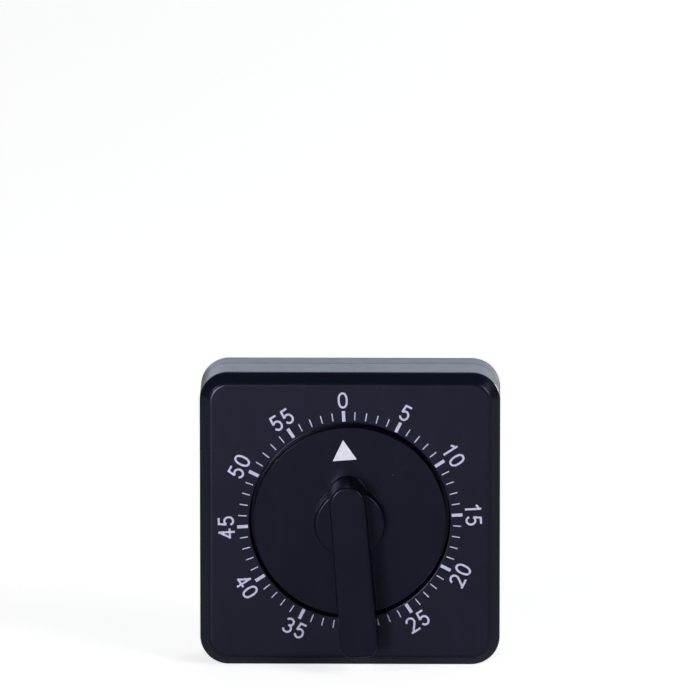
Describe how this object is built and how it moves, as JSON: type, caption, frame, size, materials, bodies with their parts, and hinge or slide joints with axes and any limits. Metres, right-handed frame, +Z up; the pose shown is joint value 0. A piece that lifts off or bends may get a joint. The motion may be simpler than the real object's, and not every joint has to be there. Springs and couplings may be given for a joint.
{
  "type": "mechanical countdown timer",
  "caption": "Square wind-up countdown timer with a round knob, a lever handle, a printed minute scale, a gear train, a ratchet, a hammer and a gong.",
  "frame": {"origin": "middle of the object's footprint at the height of the surface it stands on: halfway across the case, halfway from the handle's front to the case's back, at the bottom face", "axes": "+Z up, +Y from the dial to the back, +X to the right as seen by someone who reads the dial"},
  "size_m": [0.075, 0.0314, 0.075],
  "materials": {
    "shell_black": "fine matt moulded ABS",
    "cover_black": "fine matt moulded ABS",
    "knob_black": "satin moulded ABS",
    "print_white": "pad-printed white ink",
    "pointer_white": "pad-printed white ink",
    "nylon": "natural nylon",
    "ferrite": "ground ferrite magnet",
    "steel": "turned steel",
    "spring_steel": "blued spring steel",
    "plate_steel": "zinc-plated steel plate",
    "screw_steel": "zinc-plated steel",
    "gong_steel": "nickel-plated steel",
    "brass": "stamped brass"
  },
  "bodies": {
    "case": {"front_shell": "shell_black", "back_cover": "cover_black", "case_screws": "screw_steel", "magnets": "ferrite", "minute_marks": "print_white", "minute_numbers": "print_white", "thrust_washer": "nylon", "front_plate": "plate_steel", "back_plate": "plate_steel", "pillars": "steel", "plate_screws": "screw_steel", "movement_screws": "screw_steel", "mainspring": "spring_steel", "spring_stud": "steel", "trip_stud": "steel", "trip_spring": "spring_steel", "hammer_spring": "spring_steel", "gong": "gong_steel", "gong_post": "steel", "gong_nut": "brass"},
    "winder": {"knob": "knob_black", "pointer_mark": "pointer_white", "main_arbor": "steel", "main_wheel": "brass", "ratchet_wheel": "steel", "click_pin": "steel", "click_spring": "spring_steel", "trip_cam": "steel"},
    "click_arm": {"click": "steel"},
    "second_set": {"second_pinion": "steel", "second_wheel": "brass"},
    "third_set": {"third_pinion": "steel", "third_wheel": "brass"},
    "escape_set": {"escape_pinion": "steel", "escape_wheel": "brass"},
    "balance": {"balance_staff": "steel", "pallet_anchor": "steel", "balance_bar": "brass"},
    "trip": {"trip_lever": "plate_steel"},
    "hammer": {"hammer_staff": "steel", "hammer_tail": "plate_steel", "hammer_arm": "plate_steel", "hammer_head": "brass"}
  },
  "joints": [
    {"name": "knob_turn", "type": "hinge", "parent": "case", "child": "winder", "pos_m": [0, 0.00365, 0.0375], "axis": [0, 1, 0], "range_deg": [0, 353], "deforming": ["mainspring"]},
    {"name": "click_lift", "type": "hinge", "parent": "winder", "child": "click_arm", "pos_m": [-0.00274, 0.00365, 0.02998], "axis": [0, -1, 0], "range_deg": [0, 12], "stiffness_Nm_per_rad": 0.0002, "deforming": ["click_spring"]},
    {"name": "second_turn", "type": "hinge", "parent": "case", "child": "second_set", "pos_m": [-0.01586, 0.00365, 0.0301], "axis": [0, 1, 0], "continuous": true},
    {"name": "third_turn", "type": "hinge", "parent": "case", "child": "third_set", "pos_m": [-0.00957, 0.00365, 0.02285], "axis": [0, 1, 0], "continuous": true},
    {"name": "escape_turn", "type": "hinge", "parent": "case", "child": "escape_set", "pos_m": [-0.00164, 0.00365, 0.02008], "axis": [0, 1, 0], "continuous": true},
    {"name": "balance_swing", "type": "hinge", "parent": "case", "child": "balance", "pos_m": [0.00512, 0.00365, 0.02077], "axis": [0, 1, 0], "range_deg": [-4, 4]},
    {"name": "trip_lift", "type": "hinge", "parent": "case", "child": "trip", "pos_m": [0.00803, 0.00365, 0.04708], "axis": [0, -1, 0], "range_deg": [0, 6], "stiffness_Nm_per_rad": 0.0002, "deforming": ["trip_spring"]},
    {"name": "hammer_swing", "type": "hinge", "parent": "case", "child": "hammer", "pos_m": [0.02208, 0.00365, 0.02946], "axis": [0, 1, 0], "range_deg": [-1.8, 8], "stiffness_Nm_per_rad": 0.0005, "deforming": ["hammer_spring"]}
  ],
  "couplings": [
    {"joint": "second_turn", "follows": "knob_turn", "ratio": -6},
    {"joint": "third_turn", "follows": "knob_turn", "ratio": 30},
    {"joint": "escape_turn", "follows": "knob_turn", "ratio": -150}
  ]
}
